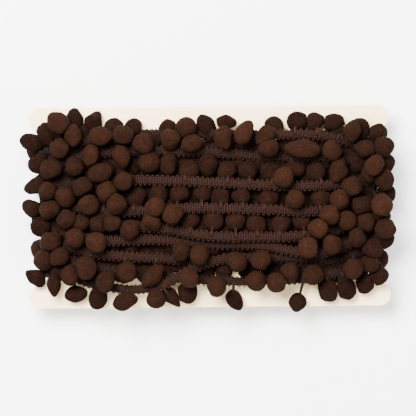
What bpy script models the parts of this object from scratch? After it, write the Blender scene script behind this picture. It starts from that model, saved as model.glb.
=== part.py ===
"""Pompom fringe trim wound on a plain card.

A long gimp header with pompoms tied to it goes round and round the waist of a flat dog-bone card.
The inner turns are one wound solid. Each outer turn is a solid of its own: the header strip with its
pompoms fused to it by their short ties. Sizes below are in millimetres, and the meshes in metres.
X runs along the card, Y across it, and Z up through it. Heights in the tables are above the card's
middle. The part lies on its back on z = 0, with the middle of its box over the origin.
"""

import math
from collections import namedtuple

import bmesh
import bpy
import numpy as np
from mathutils import Matrix, Vector

MM = 0.001
SEED = 7
GAP = 0.35  # clear space between one solid and the next

# Card
CARD_HALF_LONG = 114.3
CARD_HALF_WIDE = 63.5
CARD_THICK = 1.6
CARD_CORNER = 6.5
WAIST_HALF_LONG = 98.5
WAIST_HALF_WIDE = 41.5  # the straight side of the waist
EAR_START = 56.0  # from here outwards the ears are at their full length
EAR_STEPS = 4
EAR_LEAN = 0.7  # below 1, the notch opens out early
CORNER_STEPS = 6

# Inner winding
SLEEVE_HALF_WIDE = 40.5
SLEEVE_HALF_THICK = 6.6
SLEEVE_WALL = 4.85
SLEEVE_RIDGE = 0.5  # height of one hidden turn's ridge
SLEEVE_TURNS = 8
SLEEVE_AROUND = 18  # flat sides round the winding

# Header strip
STRIP_WIDE = 6.6
STRIP_THICK = 2.0
FRONT_STEP = 12.0  # between two sections of a front pass
BACK_STEP = 15.6
ARC_STEPS = 6  # sections round one end of the card
CHORD_SLACK = 0.3  # lost between the flat facets of the strip where it goes round an end
BACK_LEVEL = 8.25  # depth of the strip behind the card
TURN_SPLIT = 3.0  # along the strip, between one turn's solid and the next
LAST_END = 74.0  # where the last run's end is tucked under the others
WRAP_CENTRE = WAIST_HALF_LONG + 0.3
WRAP_RADIUS = SLEEVE_HALF_THICK + GAP + CHORD_SLACK + STRIP_THICK / 2

# Pompoms and their ties
POMPOM_RADIUS = 6.7
RADIUS_SPREAD = 0.35
LEAST_RADIUS = 5.6  # a pompom squeezed smaller than this is laid on top instead
RELAY_ROUNDS = 4
RELAY_LIFT = 7.0
TIE_RADIUS = 0.8
TIE_INSET = 1.6  # from the sides of the pompom's face to the tie, on a pompom of POMPOM_RADIUS
ROOT_DEPTH = 1.0  # of a tie's root inside the strip's edge
LONGEST_TIE = 24.0
TIE_CHECKS = 20  # places tested along a tie
TIE_ROOM = 0.8  # clear space round a tie
LEAST_TIE_ROOM = 0.4  # a pompom whose tie has less than this is left out
ROOT_ROUNDS = 2
END_ROOM = 3.0  # no tie is rooted this close to the end of a strip
OTHER_STRIP_COST = 4.0  # extra length that a tie may have before it is rooted on another turn
BLOCKED_COST = 30.0
SIDE_LIMIT = 112.6
UPPER_LIMIT = 55.5
LOWER_LIMIT = -59.5
FLOOR = 22.0  # depth of the resting plane
FACE_SHARE = 0.7947  # an icosahedron's face distance over its corner distance
BACK_PITCH = 14.2
BACK_SHIFT = 0.25  # share of the pitch by which back rows are staggered, to either side
BACK_ROW_SPREAD = 52.0
BACK_STRIP_SHARE = 0.86  # how far the strips behind follow their rows outwards
BACK_POMPOM_SHARE = 1.07
BACK_ROW_BEND = 0.35
PLACE_JITTER = 0.9

# Settling
SETTLE_STEPS = 150
HOME_PULL = 0.06
SINK = 0.35
SHARE_OF_PUSH = 0.35
STRIP_PUSH = 0.8
FIT_ROUNDS = 6
COARSE_SAMPLES = 3.0
FINE_SAMPLES = 1.5

# Lie of a pompom across its own strip, as charted by the letters below.
# A capital starts on top and a small letter starts deep, on the inner winding.
LIE = {"A": 17.0, "B": 11.0, "C": 5.0, "D": 0.0, "E": -5.0, "F": -11.0, "G": -17.0}
CHART_START = -114.0
CHART_STEP = 4.0
BESIDE = 8.0  # a pompom further than this from the middle of its strip lies beside it
HIGH_STRIP = 16.5  # beside a strip that runs higher than this, a pompom starts deep

# Each run is the pass of one turn over the front, from left to right. Its strip is placed across the
# card (y) at every station, and raised (z) at the inner ones. At both ends it lies on the inner
# winding. Its pompoms are charted along it, a character for each CHART_STEP.
STATIONS = (-99.0, -70.0, -35.0, 0.0, 35.0, 70.0, 99.0)
Run = namedtuple("Run", "name across rise lie")
RUNS = (
    Run("turn_1", (36.5, 43.5, 46.5, 46.0, 45.0, 44.5, 37.5), (11.0, 11.0, 12.0, 15.0, 15.0),
        "C.B..A.A.. B..c...c.. ..c..C..C. .C..D....c ...B.b..B. .C.b.C.."),
    Run("turn_2", (26.0, 34.5, 35.5, 34.8, 31.0, 30.5, 27.0), (11.0, 12.0, 13.0, 12.0, 12.0),
        "..C..B.A.. EB..EB..C. E.Ce..C.e. .B.....B.. .E..C...C. ...B..B."),
    Run("turn_3", (14.0, 15.8, 17.0, 15.5, 13.3, 12.7, 14.5), (12.0, 18.0, 19.5, 19.5, 19.5),
        ".C..B..B.. .C...D.... ......c... .B...B..B. C.....B..B ...c.B.B"),
    Run("turn_4", (4.0, -3.0, -1.5, -0.7, -2.0, -3.3, 1.5), (14.0, 18.0, 20.0, 20.0, 19.5),
        "...B..C.A. C.A.C..C.. .B..B..B.. B..B...B.. ..C...B..C .B.D.C.B"),
    Run("turn_5", (-5.0, -11.0, -12.5, -18.4, -19.1, -17.8, -9.5), (10.0, 17.0, 19.5, 20.0, 19.0),
        "C.EC..D.E. .E.D...... B..B..B..B ...B..B... B..B.C.B.. C..C..C."),
    Run("turn_6", (-13.5, -20.4, -20.4, -23.5, -25.0, -30.0, -19.5), (17.0, 16.0, 13.0, 16.0, 18.0),
        "....E..... ......c... ....E..F.. .......... ....c..C.. .c.B.D.C"),
    Run("turn_7", (-22.0, -29.2, -31.8, -34.5, -34.0, -36.0, -28.7), (15.0, 14.0, 11.0, 9.0, 9.0),
        "..F..e...F .....f.... F....f.... ...D...D.. .......... .E..D..."),
    Run("turn_8", (-30.3, -38.0, -43.0, -46.3, -47.0, -44.5, -37.5), (11.0, 10.0, 12.0, 13.0, 11.0),
        ".F......E. ..e....... .......... D.F...D..D .C.G.D..F. F..F.E.."),
    Run("turn_9", (-38.5, -49.0, -50.5, -34.5, -32.4, -33.0, -33.0), (9.0, 15.0, 16.0, 12.5, 13.0),
        "....E..F.. .F...F.... E.F..F.... .......... .......... ........"),
)

Box = namedtuple("Box", "middle half")
BOXES = (  # the inner winding, the card's waist and its two ears
    Box((0.0, 0.0, 0.0), (WRAP_CENTRE + SLEEVE_HALF_THICK, SLEEVE_HALF_WIDE, SLEEVE_HALF_THICK)),
    Box((0.0, 0.0, 0.0), (WAIST_HALF_LONG, CARD_HALF_WIDE, CARD_THICK / 2.0)),
    Box((0.0, 52.5, 0.0), (CARD_HALF_LONG, 11.0, CARD_THICK / 2.0)),
    Box((0.0, -52.5, 0.0), (CARD_HALF_LONG, 11.0, CARD_THICK / 2.0)),
)

Pompom = namedtuple("Pompom", "turn home level floor")
Samples = namedtuple("Samples", "middle wide face turn")
Tie = namedtuple("Tie", "score turn root places clear")


# ---------------------------------------------------------------- scene


def make_collection(name):
    collection = bpy.data.collections.new(name)
    bpy.context.scene.collection.children.link(collection)
    return collection


def principled(name, colour, roughness):
    material = bpy.data.materials.new(name)
    material.use_nodes = True
    shader = material.node_tree.nodes["Principled BSDF"]
    shader.inputs["Base Color"].default_value = (*colour, 1.0)
    shader.inputs["Roughness"].default_value = roughness
    shader.inputs["Metallic"].default_value = 0.0
    material.diffuse_color = (*colour, 1.0)
    return material


def add_object(name, bm, collection, material):
    """The bmesh, made in millimetres about the card's middle, as an object that lies on z = 0."""
    bmesh.ops.translate(bm, verts=bm.verts, vec=Vector((0.0, 0.0, FLOOR)))
    bmesh.ops.scale(bm, verts=bm.verts, vec=Vector((MM, MM, MM)))
    mesh = bpy.data.meshes.new(name)
    bm.to_mesh(mesh)
    bm.free()
    mesh.materials.append(material)
    placed = bpy.data.objects.new(name, mesh)
    collection.objects.link(placed)
    return placed


def centre_across(objects):
    """Move every mesh so that the middle of the whole part's box is at x = 0, y = 0."""
    corners = np.array([vertex.co for placed in objects for vertex in placed.data.vertices])
    middle = (corners.min(axis=0) + corners.max(axis=0)) / 2.0
    for placed in objects:
        placed.data.transform(Matrix.Translation((-middle[0], -middle[1], 0.0)))


def add_solidify(placed, thickness, offset):
    wall = placed.modifiers.new("thickness", "SOLIDIFY")
    wall.thickness = thickness * MM
    wall.offset = offset
    wall.use_even_offset = True
    wall.use_rim = True


def add_union(placed, operand):
    join = placed.modifiers.new("pompoms", "BOOLEAN")
    join.operation = "UNION"
    join.solver = "EXACT"
    join.use_self = True
    join.object = operand


# ---------------------------------------------------------------- the strip of each turn


def smooth_row(values, places, at):
    """A smooth curve through a table's row, read at the places asked for."""
    values, places, at = np.asarray(values), np.asarray(places), np.atleast_1d(at)
    slopes = np.gradient(values, places)
    i = np.clip(np.searchsorted(places, at) - 1, 0, len(places) - 2)
    span = places[i + 1] - places[i]
    t = np.clip((at - places[i]) / span, 0.0, 1.0)
    ease = t * t * (3.0 - 2.0 * t)
    start = slopes[i] * span * t * (1.0 - t) ** 2
    finish = slopes[i + 1] * span * t * t * (t - 1.0)
    return values[i] * (1.0 - ease) + values[i + 1] * ease + start + finish


def strip_height(run, x):
    return smooth_row((WRAP_RADIUS, *run.rise, WRAP_RADIUS), STATIONS, x)


def front_pass(run, end):
    """Places along one run's front pass."""
    count = int(round((end - STATIONS[0]) / FRONT_STEP))
    x = np.linspace(STATIONS[0], end, count + 1)
    return np.column_stack([x, smooth_row(run.across, STATIONS, x), strip_height(run, x)])


def back_row(index):
    """The place across the card of one back pass, at the card's middle."""
    return BACK_ROW_SPREAD * (1.0 - 2.0 * index / (len(RUNS) - 2))


def back_pass(index):
    """Places along the back pass, from the right end of one run to the left end of the next."""
    count = int(round((STATIONS[-1] - STATIONS[0]) / BACK_STEP))
    share = np.linspace(0.0, 1.0, count + 1)
    straight = RUNS[index].across[-1] * (1.0 - share) + RUNS[index + 1].across[0] * share
    bow = np.sin(math.pi * share) ** 0.8
    y = straight + (BACK_STRIP_SHARE * back_row(index) - straight) * bow
    x = STATIONS[-1] + (STATIONS[0] - STATIONS[-1]) * share
    return np.column_stack([x, y, np.full(len(x), -BACK_LEVEL)])


def arc(side, start, end, y):
    """Places round one end of the card, between two angles in degrees."""
    count = max(2, int(round(ARC_STEPS * abs(end - start) / 180.0)))
    angle = np.radians(np.linspace(start, end, count + 1))
    x = side * (WRAP_CENTRE + WRAP_RADIUS * np.cos(angle))
    return np.column_stack([x, np.full(len(x), y), WRAP_RADIUS * np.sin(angle)])


def turn_path(index):
    """The middle line of one turn's strip: up the left end, over the front, and back behind the card."""
    run = RUNS[index]
    split = math.degrees(TURN_SPLIT / WRAP_RADIUS / 2.0)
    rising = arc(-1.0, split, 90.0, run.across[0])[:-1]
    if index == len(RUNS) - 1:
        return np.vstack([rising, front_pass(run, LAST_END)])
    falling = arc(1.0, 90.0, -90.0, run.across[-1])[1:-1]
    closing = arc(-1.0, -90.0, -split, RUNS[index + 1].across[0])[1:]
    return np.vstack([rising, front_pass(run, STATIONS[-1]), falling, back_pass(index), closing])


def strip_frame(path):
    """For each section of a strip, the way its width runs and the way its flat side faces."""
    ahead = np.gradient(path, axis=0)
    ahead /= np.linalg.norm(ahead, axis=1)[:, None]
    face = np.column_stack([-ahead[:, 2], np.zeros(len(path)), ahead[:, 0]])
    face /= np.linalg.norm(face, axis=1)[:, None]
    return np.cross(face, ahead), face


def strip_mesh(path):
    """A ribbon along the path, two corners a section, for Solidify to thicken."""
    wide, _ = strip_frame(path)
    sections = len(path) - 1
    bm = bmesh.new()
    bmesh.ops.create_grid(bm, x_segments=sections, y_segments=1, size=0.5)
    for vertex in bm.verts:
        section = int(round((vertex.co.x + 0.5) * sections))
        side = math.copysign(STRIP_WIDE / 2.0, vertex.co.y)
        vertex.co = Vector(path[section] + wide[section] * side)
    return bm


# ---------------------------------------------------------------- where the pompoms lie


def front_pompoms(random):
    """The pompoms of the front passes, read from the runs' charts."""
    found = []
    for turn, run in enumerate(RUNS):
        for column, letter in enumerate(run.lie.replace(" ", "")):
            if letter == ".":
                continue
            x = CHART_START + CHART_STEP * column + random.uniform(-PLACE_JITTER, PLACE_JITTER)
            offset = LIE[letter.upper()] + random.uniform(-PLACE_JITTER, PLACE_JITTER)
            y = smooth_row(run.across, STATIONS, x)[0] + offset
            rise = strip_height(run, x)[0]
            deep = letter.islower() or (abs(offset) > BESIDE and rise > HIGH_STRIP)
            below = SLEEVE_HALF_THICK if deep else rise
            found.append(Pompom(turn, (x, y), below + POMPOM_RADIUS, False))
    return found


def back_pompoms(random):
    """Even rows behind the card, which the part rests on."""
    found = []
    half = SIDE_LIMIT - 1.0
    count = int(2.0 * half / BACK_PITCH)
    for turn in range(len(RUNS) - 1):
        shift = BACK_SHIFT if turn % 2 else -BACK_SHIFT
        for k in range(count):
            x = -half + 2.0 * half * (k + 0.5 + shift) / count
            bend = math.cos(0.5 * math.pi * x / (half + BACK_PITCH)) ** BACK_ROW_BEND
            y = back_row(turn) * BACK_POMPOM_SHARE * bend
            y += random.uniform(-PLACE_JITTER, PLACE_JITTER)
            found.append(Pompom(turn, (x, y), POMPOM_RADIUS - FLOOR, True))
    return found


def strip_samples(paths, spacing):
    """Closely spaced slices of every strip: middle, width, facing, and the number of its turn."""
    slices, turns = [], []
    for turn, path in enumerate(paths):
        wide, face = strip_frame(path)
        for a in range(len(path) - 1):
            steps = max(1, int(np.linalg.norm(path[a + 1] - path[a]) / spacing))
            for t in np.arange(steps + 1) / steps:
                slices.append([table[a] * (1.0 - t) + table[a + 1] * t for table in (path, wide, face)])
                turns.append(turn)
    slices = np.array(slices)
    return Samples(slices[:, 0], slices[:, 1], slices[:, 2], np.array(turns))


def nearest_on_strips(points, samples):
    """For each point and each slice of strip, the nearest place on that slice."""
    away = points[:, None, :] - samples.middle[None, :, :]
    across = np.clip((away * samples.wide).sum(-1), -STRIP_WIDE / 2.0, STRIP_WIDE / 2.0)
    through = np.clip((away * samples.face).sum(-1), -STRIP_THICK / 2.0, STRIP_THICK / 2.0)
    return samples.middle + across[..., None] * samples.wide + through[..., None] * samples.face


def offsets_from_box(centres, box):
    """For each centre, the way out of the box from its nearest place on it."""
    offset = centres - np.array(box.middle)
    return offset - np.clip(offset, -np.array(box.half), np.array(box.half))


def between_pompoms(centres):
    away = centres[:, None, :] - centres[None, :, :]
    distance = np.linalg.norm(away, axis=-1)
    np.fill_diagonal(distance, np.inf)
    return away, distance


def push_apart(centres, radii):
    away, distance = between_pompoms(centres)
    short = np.clip(radii[:, None] + radii[None, :] + GAP - distance, 0.0, None)
    return (away / distance[..., None] * short[..., None]).sum(1) * SHARE_OF_PUSH


def push_off_strips(centres, radii, samples):
    away = centres[:, None, :] - nearest_on_strips(centres, samples)
    distance = np.linalg.norm(away, axis=-1)
    row = np.arange(len(centres))
    worst = distance.argmin(1)
    least = np.maximum(distance[row, worst], 1e-6)
    short = np.clip(radii + GAP - least, 0.0, None)
    return away[row, worst] / least[:, None] * short[:, None] * STRIP_PUSH


def push_off_boxes(centres, radii):
    total = np.zeros_like(centres)
    for box in BOXES:
        away = offsets_from_box(centres, box)
        distance = np.maximum(np.linalg.norm(away, axis=1), 1e-6)
        total += away / distance[:, None] * np.clip(radii + GAP - distance, 0.0, None)[:, None]
    return total


def settle(pompoms, radii, samples):
    """Let the pompoms find room: each is drawn to its home and to the card, and pushed off the rest."""
    home = np.array([p.home for p in pompoms])
    floor = np.array([p.floor for p in pompoms])
    centres = np.column_stack([home, [p.level for p in pompoms]])
    for step in range(SETTLE_STEPS):
        calm = 1.0 - step / SETTLE_STEPS
        centres[:, :2] += (home - centres[:, :2]) * HOME_PULL * calm
        centres[~floor, 2] -= SINK * calm
        centres += push_apart(centres, radii)
        centres += push_off_strips(centres, radii, samples)
        centres += push_off_boxes(centres, radii)
        centres[:, 0] = np.clip(centres[:, 0], -SIDE_LIMIT, SIDE_LIMIT)
        centres[:, 1] = np.clip(centres[:, 1], LOWER_LIMIT, UPPER_LIMIT)
        centres[floor, 2] = FACE_SHARE * radii[floor] - FLOOR
    return centres


def fit_radii(centres, radii, samples, floor):
    """Shrink each pompom until it clears all that is near it, and keep the lowest ones on the floor."""
    for _ in range(FIT_ROUNDS):
        _, distance = between_pompoms(centres)
        short = np.clip(radii[:, None] + radii[None, :] + GAP - distance, 0.0, None)
        radii = radii - short.max(1) * 0.5
        near = np.linalg.norm(centres[:, None, :] - nearest_on_strips(centres, samples), axis=-1)
        radii = np.minimum(radii, near.min(1) - GAP)
        for box in BOXES:
            radii = np.minimum(radii, np.linalg.norm(offsets_from_box(centres, box), axis=1) - GAP)
        centres[floor, 2] = FACE_SHARE * radii[floor] - FLOOR
    return radii


def place_pompoms(pompoms, radii, coarse, fine):
    """Settle the pompoms. One that finds no room under a strip is laid on top of it instead."""
    floor = np.array([p.floor for p in pompoms])
    for _ in range(RELAY_ROUNDS):
        centres = settle(pompoms, radii, coarse)
        fitted = fit_radii(centres, radii, fine, floor)
        stuck = (fitted < LEAST_RADIUS) & ~floor
        if not stuck.any():
            break
        pompoms = [p._replace(level=p.level + RELAY_LIFT) if stuck[k] else p for k, p in enumerate(pompoms)]
    return centres, fitted


# ---------------------------------------------------------------- ties


def tie_places(centre, radius, root):
    """Places along the free length of a tie, from the pompom's skin to its root."""
    length = np.linalg.norm(root - centre)
    shares = np.linspace(min(1.0, radius / length), 1.0, TIE_CHECKS)
    return centre + shares[:, None] * (root - centre)


def tie_clearance(places, turn, own, centres, radii, samples, ties):
    """How far a tie stays from other pompoms, from the strips of other turns and from their ties."""
    ball_gaps = np.linalg.norm(places[:, None] - centres[None], axis=-1) - radii
    ball_gaps[:, own] = np.inf
    least = ball_gaps.min()
    close = np.linalg.norm(samples.middle - places[-1], axis=1) < 2.0 * LONGEST_TIE
    foreign = close & (samples.turn != turn)
    if foreign.any():
        near = nearest_on_strips(places, Samples(*[table[foreign] for table in samples]))
        least = min(least, np.linalg.norm(places[:, None] - near, axis=-1).min())
    for other_turn, other in ties:
        if other_turn != turn:
            between = np.linalg.norm(places[:, None] - other[None], axis=-1).min()
            least = min(least, between - TIE_RADIUS)
    return least - TIE_RADIUS - TIE_ROOM


def room_to_ends(samples):
    """For each slice, how far it is from the nearer end of its own strip."""
    room = np.zeros(len(samples.turn))
    for turn in np.unique(samples.turn):
        own = np.flatnonzero(samples.turn == turn)
        ends = samples.middle[own[[0, -1]]]
        room[own] = np.linalg.norm(samples.middle[own][:, None] - ends[None], axis=-1).min(1)
    return room


def choose_root(k, pompom, centres, radii, samples, usable, ties):
    """A root for one pompom's tie, on the strip that it reaches clear of all else, best on its own."""
    centre = centres[k]
    distance = np.linalg.norm(samples.middle - centre, axis=1)
    best = None
    for slot in np.flatnonzero(usable & (distance < LONGEST_TIE + radii[k]))[::2]:
        wide = samples.wide[slot]
        across = np.clip((centre - samples.middle[slot]) @ wide / STRIP_WIDE * 2.0, -1.0, 1.0)
        root = samples.middle[slot] + across * wide * (STRIP_WIDE / 2.0 - ROOT_DEPTH)
        turn = samples.turn[slot]
        score = np.linalg.norm(root - centre) + OTHER_STRIP_COST * (turn != pompom.turn)
        if best is not None and score >= best.score:
            continue
        places = tie_places(centre, radii[k], root)
        clear = tie_clearance(places, turn, k, centres, radii, samples, ties)
        score -= min(0.0, clear) * BLOCKED_COST
        if best is None or score < best.score:
            best = Tie(score, turn, root, places, clear)
    return best


def choose_roots(pompoms, centres, radii, samples):
    """Every pompom's tie. The second round looks again at each, now that the others have theirs."""
    usable = room_to_ends(samples) > END_ROOM
    chosen = {}
    for _ in range(ROOT_ROUNDS):
        for k, pompom in enumerate(pompoms):
            others = [(tie.turn, tie.places) for j, tie in chosen.items() if j != k]
            chosen[k] = choose_root(k, pompom, centres, radii, samples, usable, others)
    ties = [chosen[k] for k in range(len(pompoms))]
    held = np.array([tie.clear > LEAST_TIE_ROOM - TIE_ROOM for tie in ties])
    return np.array([tie.root for tie in ties]), np.array([tie.turn for tie in ties]), held


# ---------------------------------------------------------------- meshes


def add_pompom(bm, centre, radius, root, aim, spin):
    """An icosahedron with a face turned to the aim, and the face nearest its root drawn out as the tie."""
    verts = bmesh.ops.create_icosphere(bm, subdivisions=1, radius=radius)["verts"]
    faces = {face for vertex in verts for face in vertex.link_faces}
    first = min(faces, key=lambda face: tuple(round(v, 4) for v in face.calc_center_median().zxy))
    facing = first.calc_center_median().normalized()
    down = Vector((0.0, 0.0, -1.0))
    turned = down.rotation_difference(aim) @ Matrix.Rotation(spin, 3, "Z").to_quaternion()
    turned = turned @ facing.rotation_difference(down)
    bmesh.ops.rotate(bm, verts=verts, matrix=turned.to_matrix(), cent=(0.0, 0.0, 0.0))
    to_root = (root - centre).normalized()
    seat = max(faces, key=lambda face: face.calc_center_median().dot(to_root))
    bmesh.ops.translate(bm, verts=verts, vec=centre)
    inset = TIE_INSET * radius / POMPOM_RADIUS
    bmesh.ops.inset_individual(bm, faces=[seat], thickness=inset, use_even_offset=True)
    drawn = bmesh.ops.extrude_discrete_faces(bm, faces=[seat])["faces"][0]
    middle = drawn.calc_center_median()
    for vertex in drawn.verts:
        vertex.co = root + (vertex.co - middle).normalized() * TIE_RADIUS


def pompoms_mesh(chosen, centres, radii, roots, floor, random):
    """All the pompoms of one turn. Those on the floor have a face flat on it."""
    bm = bmesh.new()
    for k in chosen:
        centre, root = Vector(centres[k]), Vector(roots[k])
        aim = Vector((0.0, 0.0, -1.0)) if floor[k] else (root - centre).normalized()
        add_pompom(bm, centre, radii[k], root, aim, random.uniform(0.0, 2.0 * math.pi))
    return bm


def card_mesh():
    """The dog-bone outline, as a flat face pulled up to the card's thickness."""
    quarter = []
    for share in np.linspace(0.0, 1.0, EAR_STEPS + 1):
        ease = 0.5 - 0.5 * math.cos(math.pi * share**EAR_LEAN)
        x = WAIST_HALF_LONG + (CARD_HALF_LONG - WAIST_HALF_LONG) * ease
        quarter.append((x, WAIST_HALF_WIDE + (EAR_START - WAIST_HALF_WIDE) * share))
    for angle in np.linspace(0.0, math.pi / 2.0, CORNER_STEPS + 1):
        x = CARD_HALF_LONG - CARD_CORNER * (1.0 - math.cos(angle))
        quarter.append((x, CARD_HALF_WIDE - CARD_CORNER * (1.0 - math.sin(angle))))
    right = [(x, -y) for x, y in reversed(quarter)] + quarter
    outline = right + [(-x, -y) for x, y in right]
    bm = bmesh.new()
    base = bm.faces.new([bm.verts.new((x, y, -CARD_THICK / 2.0)) for x, y in outline])
    top = bmesh.ops.extrude_face_region(bm, geom=[base])["geom"]
    lifted = [item for item in top if isinstance(item, bmesh.types.BMVert)]
    bmesh.ops.translate(bm, verts=lifted, vec=Vector((0.0, 0.0, CARD_THICK)))
    bmesh.ops.recalc_face_normals(bm, faces=bm.faces)
    return bm


def sleeve_mesh():
    """The inner turns as one ridged tube of stadium section round the waist, for Solidify to thicken."""
    rows = SLEEVE_TURNS * 2
    bm = bmesh.new()
    bmesh.ops.create_grid(bm, x_segments=SLEEVE_AROUND, y_segments=rows, size=0.5)
    half_arc = SLEEVE_AROUND // 2 - 1
    for vertex in bm.verts:
        station = int(round((vertex.co.x + 0.5) * SLEEVE_AROUND)) % SLEEVE_AROUND
        row = int(round((vertex.co.y + 0.5) * rows))
        side = 1.0 if station <= half_arc else -1.0
        angle = math.pi * (0.5 - (station % (half_arc + 1)) / half_arc)
        radius = SLEEVE_HALF_THICK - (SLEEVE_RIDGE if row % 2 == 0 else 0.0)
        x = side * (WRAP_CENTRE + radius * math.cos(angle))
        y = SLEEVE_HALF_WIDE * (2.0 * row / rows - 1.0)
        vertex.co = Vector((x, y, side * radius * math.sin(angle)))
    bmesh.ops.remove_doubles(bm, verts=bm.verts, dist=1e-4)
    bmesh.ops.recalc_face_normals(bm, faces=bm.faces)
    return bm


def main():
    for old in list(bpy.data.objects):
        bpy.data.objects.remove(old, do_unlink=True)
    random = np.random.default_rng(SEED)
    parts = make_collection("pompom fringe trim")
    helpers = make_collection("pompoms before joining")
    board = principled("ivory card", (0.88, 0.81, 0.72), 0.6)
    yarn = principled("brown yarn", (0.058, 0.022, 0.013), 0.95)
    inner = principled("dark inner winding", (0.02, 0.009, 0.007), 0.95)

    paths = [turn_path(index) for index in range(len(RUNS))]
    fine = strip_samples(paths, FINE_SAMPLES)
    pompoms = front_pompoms(random) + back_pompoms(random)
    floor = np.array([p.floor for p in pompoms])
    radii = POMPOM_RADIUS + random.uniform(-RADIUS_SPREAD, RADIUS_SPREAD, len(pompoms))
    centres, radii = place_pompoms(pompoms, radii, strip_samples(paths, COARSE_SAMPLES), fine)
    roots, turns, held = choose_roots(pompoms, centres, radii, fine)

    sleeve = add_object("inner_winding", sleeve_mesh(), parts, inner)
    add_solidify(sleeve, SLEEVE_WALL, -1.0)
    made = [add_object("card", card_mesh(), parts, board), sleeve]
    for index, run in enumerate(RUNS):
        strip = add_object(run.name, strip_mesh(paths[index]), parts, yarn)
        add_solidify(strip, STRIP_THICK, 0.0)
        own = np.flatnonzero((turns == index) & held)
        bm = pompoms_mesh(own, centres, radii, roots, floor, random)
        operand = add_object(run.name + " pompoms", bm, helpers, yarn)
        operand.hide_render = True
        operand.display_type = "WIRE"
        add_union(strip, operand)
        made += [strip, operand]
    centre_across(made)


main()
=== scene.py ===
import math
from collections import namedtuple

import bmesh
import bpy
import numpy as np
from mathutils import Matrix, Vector


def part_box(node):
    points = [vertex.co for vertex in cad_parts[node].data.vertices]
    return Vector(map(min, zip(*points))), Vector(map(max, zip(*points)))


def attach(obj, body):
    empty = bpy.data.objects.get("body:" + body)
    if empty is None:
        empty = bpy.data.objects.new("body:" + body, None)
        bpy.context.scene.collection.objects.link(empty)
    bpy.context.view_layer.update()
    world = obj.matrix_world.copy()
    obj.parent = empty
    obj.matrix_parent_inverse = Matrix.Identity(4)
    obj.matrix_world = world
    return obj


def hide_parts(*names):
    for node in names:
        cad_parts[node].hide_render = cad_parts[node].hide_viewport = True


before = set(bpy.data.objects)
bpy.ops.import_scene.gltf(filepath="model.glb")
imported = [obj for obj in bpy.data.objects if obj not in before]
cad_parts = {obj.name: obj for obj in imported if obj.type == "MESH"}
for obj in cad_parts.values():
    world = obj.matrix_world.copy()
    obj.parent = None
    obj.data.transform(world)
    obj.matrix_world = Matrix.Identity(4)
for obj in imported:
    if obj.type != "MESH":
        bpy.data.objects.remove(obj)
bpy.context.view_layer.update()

MM = 0.001
SEED = 21
FAR = 99.0  # millimetres: keeps a place out of a search for the nearest one

# The card's frame: millimetres from the card's middle, X along it, Y across it, Z up out of its front.
CARD_LOW, CARD_HIGH = (np.array(corner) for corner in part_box("card"))
CARD_MIDDLE = (CARD_LOW + CARD_HIGH) / 2.0
CARD_HALF_LONG, CARD_HALF_WIDE, CARD_HALF_THICK = (CARD_HIGH - CARD_LOW) / 2.0 / MM
WINDING_LOW, WINDING_HIGH = (np.array(corner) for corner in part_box("inner_winding"))
WINDING_HALF_LONG, WINDING_HALF_WIDE, WINDING_HALF_THICK = (WINDING_HIGH - WINDING_LOW) / 2.0 / MM
FLOOR = CARD_MIDDLE[2] / MM  # how far the floor is below the card's middle

# Card outline
CARD_CORNER = 6.5
WAIST_HALF_LONG = 98.5
WAIST_HALF_WIDE = 41.5
EAR_START = 56.0
EAR_LEAN = 0.7
CARD_CREASE = 32.0  # from the card's middle to the faint fold across it
CREASE_HALF = 1.2
OUTLINE_STEPS = 13  # points on an ear's flank, and as many round its corner
ARRIS = 0.25

# Ribs of the hidden winding
WINDING_AROUND = 36
WINDING_ROWS = 60  # four to a braid
GROOVE_DEPTH = 1.2  # between two braids
RIB_DEPTH = 0.4
WINDING_WALL = 1.0

# Path of the trim, as the solids have it
STRIP_WIDE = 6.6
FRONT_STEP = 12.0
BACK_STEP = 15.6
ARC_STEPS = 6
BACK_LEVEL = 8.25
TURN_SPLIT = 3.0
LAST_END = 74.0
WRAP_CENTRE = WAIST_HALF_LONG + 0.3
WRAP_RADIUS = 8.25
BACK_ROW_SPREAD = 52.0
BACK_STRIP_SHARE = 0.86
BACK_EASE = 0.8
STATIONS = (-99.0, -70.0, -35.0, 0.0, 35.0, 70.0, 99.0)
Run = namedtuple("Run", "name across rise")
RUNS = (
    Run("turn_1", (36.5, 43.5, 46.5, 46.0, 45.0, 44.5, 37.5), (11.0, 11.0, 12.0, 15.0, 15.0)),
    Run("turn_2", (26.0, 34.5, 35.5, 34.8, 31.0, 30.5, 27.0), (11.0, 12.0, 13.0, 12.0, 12.0)),
    Run("turn_3", (14.0, 15.8, 17.0, 15.5, 13.3, 12.7, 14.5), (12.0, 18.0, 19.5, 19.5, 19.5)),
    Run("turn_4", (4.0, -3.0, -1.5, -0.7, -2.0, -3.3, 1.5), (14.0, 18.0, 20.0, 20.0, 19.5)),
    Run("turn_5", (-5.0, -11.0, -12.5, -18.4, -19.1, -17.8, -9.5), (10.0, 17.0, 19.5, 20.0, 19.0)),
    Run("turn_6", (-13.5, -20.4, -20.4, -23.5, -25.0, -30.0, -19.5), (17.0, 16.0, 13.0, 16.0, 18.0)),
    Run("turn_7", (-22.0, -29.2, -31.8, -34.5, -34.0, -36.0, -28.7), (15.0, 14.0, 11.0, 9.0, 9.0)),
    Run("turn_8", (-30.3, -38.0, -43.0, -46.3, -47.0, -44.5, -37.5), (11.0, 10.0, 12.0, 13.0, 11.0)),
    Run("turn_9", (-38.5, -49.0, -50.5, -34.5, -32.4, -33.0, -33.0), (9.0, 15.0, 16.0, 12.5, 13.0)),
)

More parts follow.
